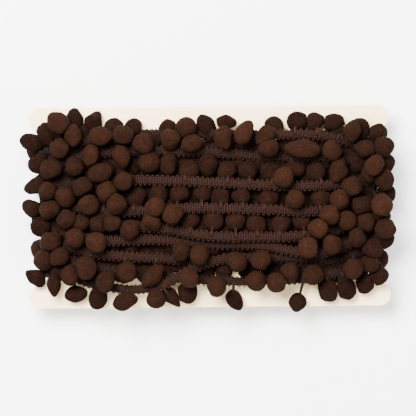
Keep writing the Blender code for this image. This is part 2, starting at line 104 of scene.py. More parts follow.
# Braid of the header. A name in _WAVES holds the lengths of the waves that make something uneven.
PATH_STEP = 0.65  # between two places of the smoothed path
PATH_SMOOTH = 13  # places averaged for each one
SWAY = 0.35
SWAY_WAVES = (11.0, 27.0, 63.0)
ROLL = 0.16  # radians that the braid leans to either side
ROLL_WAVES = (23.0, 41.0, 87.0)
LEG_PITCH = 1.57  # from one upright leg of the weft loop to the next
LEG_HALF = 2.45  # across the braid, where a leg turns into its round end
LEG_HEIGHT = 0.75
# A leg's places across and up, in shares of LEG_HALF and LEG_HEIGHT
LEG_SHAPE = ((-1.0, 0.1), (-0.72, 0.85), (0.0, 1.0), (0.72, 0.85), (1.0, 0.1))
LEG_DRIFT = 0.25  # along the braid
LEG_WAVES = (3.1, 5.3, 17.0)
LEG_YARN = 0.37
LOOP_REACH = 0.72  # of the round end past the leg
LOOP_ANGLES = (0.25 * math.pi, 0.5 * math.pi, 0.75 * math.pi)
LOOP_LEVEL = -0.1
LOOP_UNEVEN = 0.05
LOOP_WAVES = (7.0, 13.0)
WARP_PLACES = (-1.25, 0.0, 1.25)
WARP_HEIGHT = 0.8
WARP_WAVE = 0.5
WARP_SWAY = 0.1
WARP_WAVES = (5.0, 9.0)
WARP_YARN = 0.28
YARN_SIDES = 6
WARP_SIDES = 4
CORE_WIDE = 5.2
CORE_THICK = 1.1
CORE_SIDES = 8
CORE_STEP = 6  # places of the path for each section of the core
WEFT_TONE = 0.49
WARP_TONE = 0.47
TIE_TONE = 0.5
LOW_DROP = 0.22  # how much darker the trim's lowest runs are, where less light gets in
LOW_LEVEL = 8.5
HIGH_LEVEL = 16.0
WELD = 1e-4  # points nearer than this are one point

# A pompom in the solids
SOLID_CORNERS = 12
SOLID_EDGE = (5.6, 7.5)  # the shortest and longest edge
SOLID_ROUND = 0.1  # how much farther one corner is from the middle than another
SOLID_WELD = 1e-5  # in metres, as the solids are

# A pompom's form, in shares of its radius
CHEEKS = 9  # flat places that steaming leaves
CHEEK_DEPTH = (0.8, 1.0)
CHEEK_CRISP = 16
BALL_REACH = 1.06
PEAK = 0.24
PEAK_SPREAD = 0.09
STRETCH = (0.96, 1.26)
LONG_WAY_SPREAD = 0.5
OUTER_LEVEL = 3  # subdivisions of an outer pompom
DEEP_LEVEL = 2

# A pompom's surface, in millimetres
LEAST_RADIUS = 6.2
LUMP_WAVES = (3.5, 5.0, 7.0, 9.0)
LUMP_HEIGHT = 0.14
TUFT_WAVES = (1.4, 1.9, 2.6, 3.4)
TUFT_HEIGHT = 0.07
PRESS_NEAR = 1.5  # neighbours nearer than this press on it
PRESS_GAP = 0.04
PRESS_SOFT = 0.55
PRESS_SETTLE = 0.35  # share of the softness that it keeps as its own
CARD_CLEAR = 0.1
FLOOR_CLEAR = 0.05
DENT_NEAR = 2.2  # radii from its middle to the farthest braid that can dent it
STRIP_REACH = 3.5  # across the braid, to where a pompom may touch it
STRIP_RISE = 1.3
SLICE_STEP = 3  # places of the path from one slice to the next
SLICE_HALF = 0.6 * SLICE_STEP * PATH_STEP

# A pompom's tone: painted shade makes it darker low down, where less light reaches it, and the tone is
# also uneven from one pompom to the next
DEEP_SHADED_TONE = 0.22
TONE_FROM = 9.0  # from the card's middle, up or down
TOP_LIT_TONE = 0.52
TONE_RISE = 17.0  # from the one level to the other
TONE_SPREAD = 0.06

# Ties
TIE_YARN = 0.42
TIE_STOPS = ((3.9, 0.4), (2.9, 1.5), (1.2, 1.75), (-0.2, 1.0))  # out from the braid's middle, and up
TIE_SUNK = 2.0  # how deep in the pompom it starts
TIE_OUT = 0.4
TIE_STEPS = 3
SHORT_TIE_SHARE = 0.4  # of the way to a pompom that lies on its own braid
SHORT_TIE_FOOT = 0.3

# Pompoms of the hidden turns
INNER_RADIUS = 6.4
INNER_PITCH = 13.4
INNER_LEVEL = 6.2
INNER_STRAY = 3.2
STRAY_SHARES = (1.0, 1.0, 0.5)  # of it along, across and up
INNER_CLEAR = 8.6

# How far the outer pompoms swing on their ties, as (place along the row, draw)
TOP_ROW = 49.0
TOP_ROW_DRAW = ((-65.0, 2.2), (-55.0, 3.4), (5.0, 3.4), (15.0, 2.2))
END_COLUMN = 108.0
LEFT_END_DRAW = ((-44.0, 1.0), (-11.5, 3.5), (2.3, 1.0), (16.2, 2.5), (29.9, 3.5), (43.9, 1.0))
RIGHT_END_DRAW = ((-44.2, 4.0), (-18.0, 2.5), (8.0, 0.5), (25.0, 4.0), (37.0, 3.0))
FRONT_REACH = 111.6  # from the card's middle to the last pompoms at its ends

Shape = namedtuple("Shape", "x y long wide turn")  # millimetres, and degrees from X
SHAPES = (  # front pompoms that are plainly longer than they are wide
    Shape(60.0, 38.0, 20.0, 12.5, -5.0),
    Shape(10.5, 53.2, 14.0, 9.0, 8.0),
    Shape(-2.8, 49.4, 16.0, 13.5, 110.0),
    Shape(-35.1, -45.1, 15.5, 11.0, 40.0),
    Shape(-24.3, -57.1, 14.5, 9.5, -50.0),
    Shape(15.6, -59.0, 13.8, 10.0, -60.0),
    Shape(-85.2, -54.6, 14.0, 10.5, 15.0),
    Shape(-108.7, -45.7, 13.5, 10.5, 150.0),
    Shape(-98.5, -48.9, 12.5, 9.5, 90.0),
    Shape(-70.6, -57.1, 14.5, 11.5, 80.0),
    Shape(-52.2, -59.0, 15.0, 11.5, 15.0),
    Shape(-87.1, 45.6, 14.5, 11.5, 100.0),
    Shape(35.3, 44.3, 15.5, 11.5, 75.0),
    Shape(9.3, 42.4, 15.0, 11.5, 95.0),
    Shape(21.9, 46.2, 14.5, 12.0, 60.0),
    Shape(51.1, 27.8, 15.0, 10.8, -5.0),
    Shape(90.4, 48.8, 13.5, 11.0, 95.0),
    Shape(77.1, 54.5, 14.8, 12.0, 0.0),
    Shape(99.3, 35.4, 14.0, 11.5, -15.0),
    Shape(-68.7, 44.3, 14.0, 12.0, 0.0),
    Shape(-10.4, 39.9, 14.5, 11.5, 20.0),
    Shape(-54.1, 32.3, 14.5, 11.5, 100.0),
    Shape(-72.5, 31.0, 14.0, 11.0, 75.0),
    Shape(-68.7, 20.9, 16.0, 13.0, 20.0),
    Shape(55.8, -60.5, 12.2, 11.2, 90.0),
)
SHAPE_REACH = 8.0  # how far a pompom may lie from its place in the table

# Where the front pompoms hang, on a grid of GRID steps each way over the camera's view
GRID = 416.0
SPOTS = (
    (29, 145), (40, 136), (59, 123), (77, 119), (94, 121), (72, 135), (64, 153), (101, 137),
    (114, 128), (124, 136), (134, 128), (143, 145), (157, 157), (123, 154), (96, 158), (76, 167),
    (40, 164), (57, 176), (100, 174), (124, 181), (82, 187), (36, 186), (47, 192), (65, 198),
    (91, 202), (108, 191), (114, 202), (140, 199), (156, 206), (50, 210), (33, 213), (67, 219),
    (116, 219), (42, 226), (172, 215), (190, 221), (130, 231), (52, 244), (44, 260), (83, 268),
    (126, 272), (37, 278), (54, 285), (76, 294), (98, 298), (126, 301), (152, 279), (155, 294),
    (172, 296), (186, 293), (182, 247), (200, 255), (173, 139), (192, 146), (168, 130), (186, 128),
    (205, 129), (171, 160), (205, 162), (192, 172), (160, 193), (180, 193), (204, 192), (189, 278),
    (226, 122), (224, 138), (244, 133), (274, 126), (270, 149), (303, 149), (301, 121), (331, 121),
    (352, 131), (378, 134), (384, 147), (366, 150), (335, 151), (291, 164), (374, 165), (385, 164),
    (339, 170), (316, 172), (248, 171), (268, 170), (284, 180), (223, 171), (351, 187), (382, 177),
    (389, 194), (376, 198), (362, 205), (220, 196), (241, 195), (270, 197), (295, 199), (322, 198),
    (339, 201), (214, 219), (236, 220), (255, 224), (282, 224), (301, 220), (320, 228), (346, 222),
    (365, 221), (380, 220), (364, 236), (383, 239), (372, 249), (310, 245), (236, 261), (261, 260),
    (378, 275), (351, 274), (365, 282), (290, 273), (313, 276), (329, 287), (346, 289), (216, 286),
    (256, 281), (277, 282), (234, 299), (297, 303),
)
SPOT_REACH = 9.0  # millimetres from a pompom to the spot that it may be drawn towards
SPOT_PULL = 2.5  # how far it is drawn, as its tie lets it swing

# Where an outer pompom lies over a braid, and how far its middle is above the braid's middle
LOOSE_SPOTS = ((81, 224), (99, 224), (152, 220), (265, 137), (370, 264))
LOOSE_RISE = 6.0

# Where a hidden pompom lies on the card and covers it between the outer ones
GAP_SPOTS = ((60, 136), (85, 133), (155, 140), (296, 141), (338, 134))
GAP_LEVEL = 7.0

# Camera
VIEW_WIDE = 263.7  # millimetres of the card's plane across the view
CAMERA_HIGH = 2.0  # metres above the card's middle
CAMERA_OFFSET = (-0.9, -0.7)  # millimetres from the card's middle
CAMERA_TURN = -0.55  # degrees
SENSOR = 36.0

# Stage
FLOOR_SIZE = 3.0
SKY_STRENGTH = 2.1
Light = namedtuple("Light", "name place size power")  # metres and watts
LIGHTS = (
    Light("overhead softbox", (-0.35, 0.45, 1.3), 0.6, 120.0),
    Light("side fill", (1.1, -0.5, 0.9), 0.8, 14.0),
)

# Patterns of the materials, in millimetres. One fibre of the pile or the yarns is some 0.02 mm thick,
# too fine to show, so the patterns have the size of the tufts and plies that fibres gather into.
MOTTLE_SIZE = 3.2
TUFT_SIZE = 1.2
PILE_SIZE = 0.4
PILE_DEPTH = 0.6
PLY_SIZE = 0.7
PLY_DEPTH = 0.2
LINT_SIZE = 0.9
LINT_DEPTH = 0.3
PULP_SIZE = 30.0
GRAIN_SIZE = 0.8
GRAIN_DEPTH = 0.05
NOISE_MIDDLE = 0.5  # of Blender's noise
MOTTLE_SHARE = 0.5
PILE_SHARE = 0.5
CREASE_SHADE = 0.25

Yarn = namedtuple("Yarn", "centre radius long_way stretch tone")
Slices = namedtuple("Slices", "middle wide face turn")


# ---------------------------------------------------------------- materials


def linear(code):
    """An sRGB hex colour as linear red, green, blue and alpha."""
    values = [int(code[i:i + 2], 16) / 255.0 for i in (1, 3, 5)]
    return (*[v / 12.92 if v <= 0.04045 else ((v + 0.055) / 1.055) ** 2.4 for v in values], 1.0)


def new_material(name, **inputs):
    """A material with one Principled shader, its sockets set from the names given."""
    material = bpy.data.materials.new(name)
    material.use_nodes = True
    tree = material.node_tree
    shader = tree.nodes["Principled BSDF"]
    for socket, value in inputs.items():
        shader.inputs[socket.replace("_", " ")].default_value = value
    return material, tree, shader


def add_node(tree, kind, links=(), **settings):
    """A node with its settings. A link is (input, (node, output)). A setting on an input is in_NAME."""
    node = tree.nodes.new(kind)
    for key, value in settings.items():
        if key.startswith("in_"):
            node.inputs[key[3:].replace("_", " ")].default_value = value
        else:
            setattr(node, key, value)
    for socket, (source, output) in links:
        tree.links.new(source.outputs[output], node.inputs[socket])
    return node


def add_ramp(tree, source, output, stops):
    """A colour ramp over a value, with (place, hex colour) stops."""
    ramp = add_node(tree, "ShaderNodeValToRGB", [("Fac", (source, output))])
    while len(ramp.color_ramp.elements) < len(stops):
        ramp.color_ramp.elements.new(0.5)
    for element, (place, code) in zip(ramp.color_ramp.elements, stops):
        element.position = place
        element.color = linear(code)
    return ramp


def per_mm(size):
    """The scale that gives a pattern cells of this size in millimetres on Object coordinates."""
    return 1.0 / (size * MM)


def pompom_yarn():
    """Brushed chenille yarn, cut and steamed into balls: matt as suede, softly mottled by its pile."""
    material, tree, shader = new_material(
        "brushed chenille yarn, brown", Roughness=1.0, Sheen_Weight=0.02, Sheen_Roughness=0.6,
        Specular_IOR_Level=0.02)
    shader.inputs["Sheen Tint"].default_value = linear("#8A6450")
    place = add_node(tree, "ShaderNodeTexCoord")
    # The tone attribute carries each pompom's uneven tone and the painted shade of the lower ones.
    tone = add_node(tree, "ShaderNodeAttribute", attribute_name="tone")
    mottle = add_node(tree, "ShaderNodeTexNoise", [("Vector", (place, "Object"))],
                      in_Scale=per_mm(MOTTLE_SIZE), in_Detail=3.0, in_Roughness=0.65)
    fibres = add_node(tree, "ShaderNodeTexNoise", [("Vector", (place, "Object"))],
                      in_Scale=per_mm(TUFT_SIZE), in_Detail=4.0, in_Roughness=0.75)
    soft = add_node(tree, "ShaderNodeMath", [(0, (mottle, "Fac"))], operation="MULTIPLY_ADD")
    soft.inputs[1].default_value = MOTTLE_SHARE
    soft.inputs[2].default_value = -NOISE_MIDDLE * (1.0 + MOTTLE_SHARE)
    mixed = add_node(tree, "ShaderNodeMath", [(0, (fibres, "Fac")), (1, (soft, "Value"))],
                     operation="ADD")
    shade = add_node(tree, "ShaderNodeMath", [(0, (mixed, "Value")), (1, (tone, "Fac"))],
                     operation="ADD")
    ramp = add_ramp(tree, shade, "Value",
                    [(0.0, "#080302"), (0.32, "#150A06"), (0.65, "#21110A"), (1.0, "#372015")])
    tree.links.new(ramp.outputs["Color"], shader.inputs["Base Color"])
    pile = add_node(tree, "ShaderNodeTexNoise", [("Vector", (place, "Object"))],
                    in_Scale=per_mm(PILE_SIZE), in_Detail=2.0, in_Roughness=0.6)
    tufts = add_node(tree, "ShaderNodeMath", [(0, (pile, "Fac")), (2, (fibres, "Fac"))],
                     operation="MULTIPLY_ADD")
    tufts.inputs[1].default_value = PILE_SHARE
    bump = add_node(tree, "ShaderNodeBump", [("Height", (tufts, "Value"))], in_Strength=0.6)
    bump.inputs["Distance"].default_value = PILE_DEPTH * MM
    tree.links.new(bump.outputs["Normal"], shader.inputs["Normal"])
    return material


def braid_yarn():
    """Twisted viscose gimp yarn: finer and a little glossier than the pompoms, with plies that show."""
    material, tree, shader = new_material(
        "twisted viscose gimp, dark brown", Roughness=0.6, Sheen_Weight=0.02, Sheen_Roughness=0.4,
        Specular_IOR_Level=0.07)
    shader.inputs["Sheen Tint"].default_value = linear("#9A6A54")
    place = add_node(tree, "ShaderNodeTexCoord")
    # The tone attribute carries the yarns' own tones and the painted shade of the trim's lowest runs.
    tone = add_node(tree, "ShaderNodeAttribute", attribute_name="tone")
    plies = add_node(tree, "ShaderNodeTexNoise", [("Vector", (place, "Object"))],
                     in_Scale=per_mm(PLY_SIZE), in_Detail=3.0, in_Roughness=0.65)
    shade = add_node(tree, "ShaderNodeMath", [(0, (plies, "Fac")), (1, (tone, "Fac"))],
                     operation="ADD")
    less = add_node(tree, "ShaderNodeMath", [(0, (shade, "Value"))], operation="SUBTRACT")
    less.inputs[1].default_value = NOISE_MIDDLE
    ramp = add_ramp(tree, less, "Value",
                    [(0.0, "#040202"), (0.3, "#100705"), (0.6, "#24120C"), (1.0, "#3E2319")])
    tree.links.new(ramp.outputs["Color"], shader.inputs["Base Color"])
    bump = add_node(tree, "ShaderNodeBump", [("Height", (plies, "Fac"))], in_Strength=0.5)
    bump.inputs["Distance"].default_value = PLY_DEPTH * MM
    tree.links.new(bump.outputs["Normal"], shader.inputs["Normal"])
    return material


def core_in_painted_shade():
    """Carded cotton inside the gimp and between the hidden turns: dead matt and nearly black, the trim's
    dark brown painted darker as painted shade for the deep gaps between the yarns and between the hidden
    turns.
    """
    material, tree, shader = new_material("carded cotton core, painted near-black shade", Roughness=1.0,
                                          Specular_IOR_Level=0.0)
    place = add_node(tree, "ShaderNodeTexCoord")
    lint = add_node(tree, "ShaderNodeTexNoise", [("Vector", (place, "Object"))],
                    in_Scale=per_mm(LINT_SIZE), in_Detail=4.0, in_Roughness=0.7)
    ramp = add_ramp(tree, lint, "Fac", [(0.3, "#0C0605"), (0.7, "#1D110D")])
    tree.links.new(ramp.outputs["Color"], shader.inputs["Base Color"])
    bump = add_node(tree, "ShaderNodeBump", [("Height", (lint, "Fac"))], in_Strength=0.6)
    bump.inputs["Distance"].default_value = LINT_DEPTH * MM
    tree.links.new(bump.outputs["Normal"], shader.inputs["Normal"])
    return material


def ivory_board():
    """Smooth uncoated ivory board: matt, faintly mottled with pulp, with painted shade along a faint
    crease across it.
    """
    material, tree, shader = new_material("uncoated ivory board", Roughness=0.75, Specular_IOR_Level=0.3)
    place = add_node(tree, "ShaderNodeTexCoord")
    pulp = add_node(tree, "ShaderNodeTexNoise", [("Vector", (place, "Object"))],
                    in_Scale=per_mm(PULP_SIZE), in_Detail=6.0, in_Roughness=0.6)
    ramp = add_ramp(tree, pulp, "Fac", [(0.3, "#F9DDB2"), (0.7, "#F3D4A3")])
    split = add_node(tree, "ShaderNodeSeparateXYZ", [("Vector", (place, "Object"))])
    # Painted shade: the board darkens towards the crease's line, where the fold would shade it; the
    # board itself is flat there.
    from_crease = add_node(tree, "ShaderNodeMath", [(0, (split, "X"))], operation="SUBTRACT")
    from_crease.inputs[1].default_value = CARD_MIDDLE[0] + CARD_CREASE * MM
    crease = add_node(tree, "ShaderNodeMath", [(0, (from_crease, "Value"))], operation="ABSOLUTE")
    crease_shade_share = add_node(tree, "ShaderNodeMapRange", [("Value", (crease, "Value"))], in_From_Min=0.0,
                     in_From_Max=CREASE_HALF * MM, in_To_Min=CREASE_SHADE, in_To_Max=0.0)
    crease_shaded = add_node(tree, "ShaderNodeMix", [("Factor", (crease_shade_share, "Result"))], data_type="RGBA")
    tree.links.new(ramp.outputs["Color"], crease_shaded.inputs["A"])
    crease_shaded.inputs["B"].default_value = linear("#D9C4A4")
    tree.links.new(crease_shaded.outputs["Result"], shader.inputs["Base Color"])
    grain = add_node(tree, "ShaderNodeTexNoise", [("Vector", (place, "Object"))],
                     in_Scale=per_mm(GRAIN_SIZE), in_Detail=4.0)
    bump = add_node(tree, "ShaderNodeBump", [("Height", (grain, "Fac"))], in_Strength=0.15)
    bump.inputs["Distance"].default_value = GRAIN_DEPTH * MM
    tree.links.new(bump.outputs["Normal"], shader.inputs["Normal"])
    return material


# ---------------------------------------------------------------- finished pieces


def finish_piece(name, bm, material, replaced):
    """Makes the bmesh, in millimetres about the card's middle, a shaded piece that stands for a node."""
    bmesh.ops.scale(bm, verts=bm.verts, vec=Vector((MM, MM, MM)))
    bmesh.ops.translate(bm, verts=bm.verts, vec=Vector(CARD_MIDDLE))
    mesh = bpy.data.meshes.new(name)
    bm.to_mesh(mesh)
    bm.free()
    mesh.shade_smooth()
    mesh.materials.append(material)
    piece = bpy.data.objects.new(name, mesh)
    bpy.context.scene.collection.objects.link(piece)
    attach(piece, "root")
    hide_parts(replaced)


# ---------------------------------------------------------------- path of the trim


def smooth_row(values, places, at):
    """A smooth curve through a table's row, read at the places asked for."""
    values, places, at = np.asarray(values), np.asarray(places), np.atleast_1d(at)
    slopes = np.gradient(values, places)
    i = np.clip(np.searchsorted(places, at) - 1, 0, len(places) - 2)
    span = places[i + 1] - places[i]
    t = np.clip((at - places[i]) / span, 0.0, 1.0)
    ease = t * t * (3.0 - 2.0 * t)
    start = slopes[i] * span * t * (1.0 - t) ** 2
    finish = slopes[i + 1] * span * t * t * (t - 1.0)
    return values[i] * (1.0 - ease) + values[i + 1] * ease + start + finish


def front_pass(run, end):
    """One run over the front, from the left end as far as it goes."""
    count = int(round((end - STATIONS[0]) / FRONT_STEP))
    x = np.linspace(STATIONS[0], end, count + 1)
    height = smooth_row((WRAP_RADIUS, *run.rise, WRAP_RADIUS), STATIONS, x)
    return np.column_stack([x, smooth_row(run.across, STATIONS, x), height])


def back_pass(index):
    """The run behind the card from one turn to the next, bowed towards its own row."""
    count = int(round((STATIONS[-1] - STATIONS[0]) / BACK_STEP))
    share = np.linspace(0.0, 1.0, count + 1)
    straight = RUNS[index].across[-1] * (1.0 - share) + RUNS[index + 1].across[0] * share
    row = BACK_ROW_SPREAD * (1.0 - 2.0 * index / (len(RUNS) - 2))
    y = straight + (BACK_STRIP_SHARE * row - straight) * np.sin(math.pi * share) ** BACK_EASE
    x = STATIONS[-1] + (STATIONS[0] - STATIONS[-1]) * share
    return np.column_stack([x, y, np.full(len(x), -BACK_LEVEL)])


def arc(side, start, end, y):
    """The way round one end of the card, between two angles in degrees."""
    count = max(2, int(round(ARC_STEPS * abs(end - start) / 180.0)))
    angle = np.radians(np.linspace(start, end, count + 1))
    x = side * (WRAP_CENTRE + WRAP_RADIUS * np.cos(angle))
    return np.column_stack([x, np.full(len(x), y), WRAP_RADIUS * np.sin(angle)])


def turn_path(index):
    """The middle line of one turn: up the left end, over the front, and back behind the card."""
    run = RUNS[index]
    split = math.degrees(TURN_SPLIT / WRAP_RADIUS / 2.0)
    rising = arc(-1.0, split, 90.0, run.across[0])[:-1]
    if index == len(RUNS) - 1:
        return np.vstack([rising, front_pass(run, LAST_END)])
    falling = arc(1.0, 90.0, -90.0, run.across[-1])[1:-1]
    closing = arc(-1.0, -90.0, -split, RUNS[index + 1].across[0])[1:]
    return np.vstack([rising, front_pass(run, STATIONS[-1]), falling, back_pass(index), closing])


def fine_path(index, random):
    """The turn's path in short even steps, rounded at its bends, with a little sway across the braid."""
    rough = turn_path(index)
    length = np.concatenate([[0.0], np.cumsum(np.linalg.norm(np.diff(rough, axis=0), axis=1))])
    count = int(length[-1] / PATH_STEP)
    at = np.linspace(0.0, length[-1], count + 1)
    path = np.column_stack([np.interp(at, length, rough[:, axis]) for axis in range(3)])
    half = PATH_SMOOTH // 2
    padded = np.pad(path, ((half, half), (0, 0)), mode="reflect", reflect_type="odd")
    path = np.column_stack([np.convolve(padded[:, a], np.ones(PATH_SMOOTH) / PATH_SMOOTH, "valid")
                            for a in range(3)])
    path[:, 1] += SWAY * waves(at, random, SWAY_WAVES)
    return path, at


def waves(at, random, lengths):
    """A gentle uneven wave of about unit height along a length."""
    total = sum(np.sin(2.0 * math.pi * (at / length + random.uniform())) for length in lengths)
    return total / len(lengths)


def path_frame(path, roll):
    """For each place of a path, the way its width runs and the way its flat side faces."""
    ahead = np.gradient(path, axis=0)
    ahead /= np.linalg.norm(ahead, axis=1)[:, None]
    face = np.column_stack([-ahead[:, 2], np.zeros(len(path)), ahead[:, 0]])
    face /= np.linalg.norm(face, axis=1)[:, None]
    wide = np.cross(face, ahead)
    cos, sin = np.cos(roll)[:, None], np.sin(roll)[:, None]
    return wide * cos + face * sin, face * cos - wide * sin


# ---------------------------------------------------------------- braid


def place_on(path, at, wide, face, along, across, height):
    """Places given along, across and above a braid, as points."""
    columns = []
    for axis in range(3):
        columns.append(np.interp(along, at, path[:, axis])
                       + np.interp(along, at, wide[:, axis]) * across
                       + np.interp(along, at, face[:, axis]) * height)
    return np.column_stack(columns)


def weft_points(length):
    """The weft loop: upright legs joined by round ends that scallop both edges of the braid."""
    along, across, height = [], [], []
    for leg in range(int(length / LEG_PITCH)):
        way = 1.0 if leg % 2 else -1.0
        start = (leg + 0.5) * LEG_PITCH
        for share, lift in LEG_SHAPE:
            along.append(start)
            across.append(way * share * LEG_HALF)
            height.append(LEG_HEIGHT * lift)
        for angle in LOOP_ANGLES:
            along.append(start + LEG_PITCH / 2.0 * (1.0 - math.cos(angle)))
            across.append(way * (LEG_HALF + LOOP_REACH * math.sin(angle)))
            height.append(LOOP_LEVEL)
    return np.array(along), np.array(across), np.array(height)


def tube_curve(name, routes, radius, sides):
    """A curve object of round yarn along several routes of points, as a bmesh."""
    curve = bpy.data.curves.new(name, "CURVE")
    curve.dimensions = "3D"
    curve.bevel_depth = radius
    curve.bevel_resolution = (sides - 4) // 2
    curve.use_fill_caps = True
    for route in routes:
        spline = curve.splines.new("POLY")
        spline.points.add(len(route) - 1)
        spline.points.foreach_set("co", np.column_stack([route, np.ones(len(route))]).ravel())
    drawn = bpy.data.objects.new(name, curve)
    bpy.context.scene.collection.objects.link(drawn)
    mesh = bpy.data.meshes.new_from_object(drawn.evaluated_get(bpy.context.evaluated_depsgraph_get()))
    bpy.data.objects.remove(drawn, do_unlink=True)
    bpy.data.curves.remove(curve)
    bm = bmesh.new()
    bm.from_mesh(mesh)
    bpy.data.meshes.remove(mesh)
    bmesh.ops.remove_doubles(bm, verts=bm.verts, dist=WELD)
    return bm


def core_mesh(path, wide, face):
    """The flat lens-shaped body under the braid's yarns."""
    picks = np.arange(0, len(path), CORE_STEP)
    bm = bmesh.new()
    bmesh.ops.create_grid(bm, x_segments=len(picks) - 1, y_segments=CORE_SIDES, size=0.5)
    for vertex in bm.verts:
        section = picks[int(round((vertex.co.x + 0.5) * (len(picks) - 1)))]
        angle = 2.0 * math.pi * round((vertex.co.y + 0.5) * CORE_SIDES) / CORE_SIDES
        across = math.cos(angle) * CORE_WIDE / 2.0
        lift = math.sin(angle) * CORE_THICK / 2.0
        vertex.co = Vector(path[section] + wide[section] * across + face[section] * lift)
    bmesh.ops.remove_doubles(bm, verts=bm.verts, dist=WELD)
    bmesh.ops.holes_fill(bm, edges=[edge for edge in bm.edges if edge.is_boundary], sides=0)
    bmesh.ops.recalc_face_normals(bm, faces=bm.faces)
    return bm


def merge(target, source, tone):
    """Adds one bmesh to another with its tone on every point, and painted shade that makes it darker low
    down in front of the card, where less light gets in.
    """
    layer = source.verts.layers.float.new("tone")
    for vertex in source.verts:
        # Painted shade: runs low in front of the card are darker, runs behind the card are not.
        low = (HIGH_LEVEL - vertex.co.z) / (HIGH_LEVEL - LOW_LEVEL)
        behind = 1.0 + vertex.co.z / LOW_LEVEL
        vertex[layer] = tone - LOW_DROP * min(max(min(low, behind), 0.0), 1.0)
    holder = bpy.data.meshes.new("holder")
    source.to_mesh(holder)
    source.free()
    target.from_mesh(holder)
    bpy.data.meshes.remove(holder)


def braid_meshes(index, random):
    """One turn's braid: its flat core, and the weft loops and warp yarns over it."""
    path, at = fine_path(index, random)
    roll = ROLL * waves(at, random, ROLL_WAVES)
    wide, face = path_frame(path, roll)
    along, across, height = weft_points(at[-1])
    across = across * (1.0 + LOOP_UNEVEN * waves(along, random, LOOP_WAVES))
    along = along + LEG_DRIFT * waves(along, random, LEG_WAVES)
    weft = place_on(path, at, wide, face, along, across, height)
    steps = np.arange(0.0, at[-1], LEG_PITCH / 2.0)
    warps = []
    for order, place in enumerate(WARP_PLACES):
        lift = WARP_HEIGHT + WARP_WAVE * np.cos(math.pi * steps / LEG_PITCH + math.pi * order)
        sway = place + WARP_SWAY * waves(steps, random, WARP_WAVES)
        warps.append(place_on(path, at, wide, face, steps, sway, lift))
    bm = bmesh.new()
    bm.verts.layers.float.new("tone")
    merge(bm, tube_curve("weft", [weft], LEG_YARN, YARN_SIDES), WEFT_TONE)
    merge(bm, tube_curve("warp", warps, WARP_YARN, WARP_SIDES), WARP_TONE)
    return core_mesh(path, wide, face), bm


# ---------------------------------------------------------------- pompoms


def find_pompoms(node):
    """Each pompom of a turn's solid, as its middle, its radius and its tie's far end."""
    bm = bmesh.new()
    bm.from_mesh(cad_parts[node].data)
    bmesh.ops.remove_doubles(bm, verts=bm.verts, dist=SOLID_WELD)
    bm.verts.ensure_lookup_table()
    points = (np.array([vertex.co for vertex in bm.verts]) - CARD_MIDDLE) / MM
    linked = {i: [e.other_vert(v).index for e in v.link_edges] for i, v in enumerate(bm.verts)}
    bm.free()
    found, seen = [], set()
    for start in linked:
        if start in seen:
            continue
        group, queue = {start}, [start]
        while queue:
            here = queue.pop()
            for other in linked[here]:
                edge = np.linalg.norm(points[here] - points[other])
                if other not in group and SOLID_EDGE[0] < edge < SOLID_EDGE[1]:
                    group.add(other)
                    queue.append(other)
        seen |= group
        corners = points[sorted(group)]
        centre = corners.mean(axis=0)
        radius = np.linalg.norm(corners - centre, axis=1)
        if len(group) != SOLID_CORNERS or np.ptp(radius) > SOLID_ROUND:
            continue
        base = {other for corner in group for other in linked[corner]} - group
        tips = {other for corner in base for other in linked[corner]} - group - base
        root = points[sorted(tips)].mean(axis=0) if tips else centre
        found.append((centre, radius.mean(), root))
    return found


def all_slices(paths):
    """Closely spaced slices of every braid, for the pompoms to be pressed against."""
    middle, wide, face, turn = [], [], [], []
    for index, (path, across, facing) in enumerate(paths):
        picks = np.arange(0, len(path), SLICE_STEP)
        middle.append(path[picks])
        wide.append(across[picks])
        face.append(facing[picks])
        turn.append(np.full(len(picks), index))
    return Slices(*[np.concatenate(table) for table in (middle, wide, face, turn)])


def over_card(centre):
    """Whether a pompom lies on or under one of the card's two bare edges."""
    share = (abs(centre[1]) - WAIST_HALF_WIDE) / (EAR_START - WAIST_HALF_WIDE)
    half_long = WAIST_HALF_LONG + (CARD_HALF_LONG - WAIST_HALF_LONG) * min(share, 1.0)
    return share > 0.0 and abs(centre[0]) < half_long


def pressing_planes(k, yarns):
    """What presses on a pompom, as rows of a direction and how far out its yarn may reach that way."""
    centre, radius = yarns.centre[k], yarns.radius[k]
    planes = []
    away = yarns.centre - centre
    distance = np.linalg.norm(away, axis=1)
    for j in np.flatnonzero((distance < radius + yarns.radius + PRESS_NEAR) & (distance > 0.0)):
        reach = distance[j] * radius / (radius + yarns.radius[j]) - PRESS_GAP
        planes.append((*(away[j] / distance[j]), reach))
    planes.append((0.0, 0.0, -1.0, centre[2] + FLOOR))
    if over_card(centre):
        to_card = abs(centre[2]) - CARD_HALF_THICK - CARD_CLEAR
        planes.append((0.0, 0.0, -math.copysign(1.0, centre[2]), to_card))
    return planes


def dent_round_braids(surface, centre, slices):
    """Moves yarn that would lie inside a braid to the side of it where the pompom is."""
    near = np.flatnonzero(np.linalg.norm(slices.middle - centre, axis=1) < DENT_NEAR * INNER_RADIUS)
    for turn in np.unique(slices.turn[near]):
        own = near[slices.turn[near] == turn]
        j = own[np.linalg.norm(surface[:, None] - slices.middle[own], axis=2).argmin(axis=1)]
        middle, wide, face = slices.middle[j], slices.wide[j], slices.face[j]
        across = ((surface - middle) * wide).sum(1)
        through = ((surface - middle) * face).sum(1)
        side = ((centre - middle) * wide).sum(1)
        above = ((centre - middle) * face).sum(1)
        along = ((surface - middle) * np.cross(wide, face)).sum(1)
        inside = ((np.abs(across) < STRIP_REACH) & (np.abs(through) < STRIP_RISE)
                  & (np.abs(along) < SLICE_HALF))
        beside = np.abs(above) < STRIP_RISE
        shift = np.where(beside[:, None], (np.sign(side) * STRIP_REACH - across)[:, None] * wide,
                         (np.sign(above) * STRIP_RISE - through)[:, None] * face)
        surface = surface + inside[:, None] * shift
    return surface


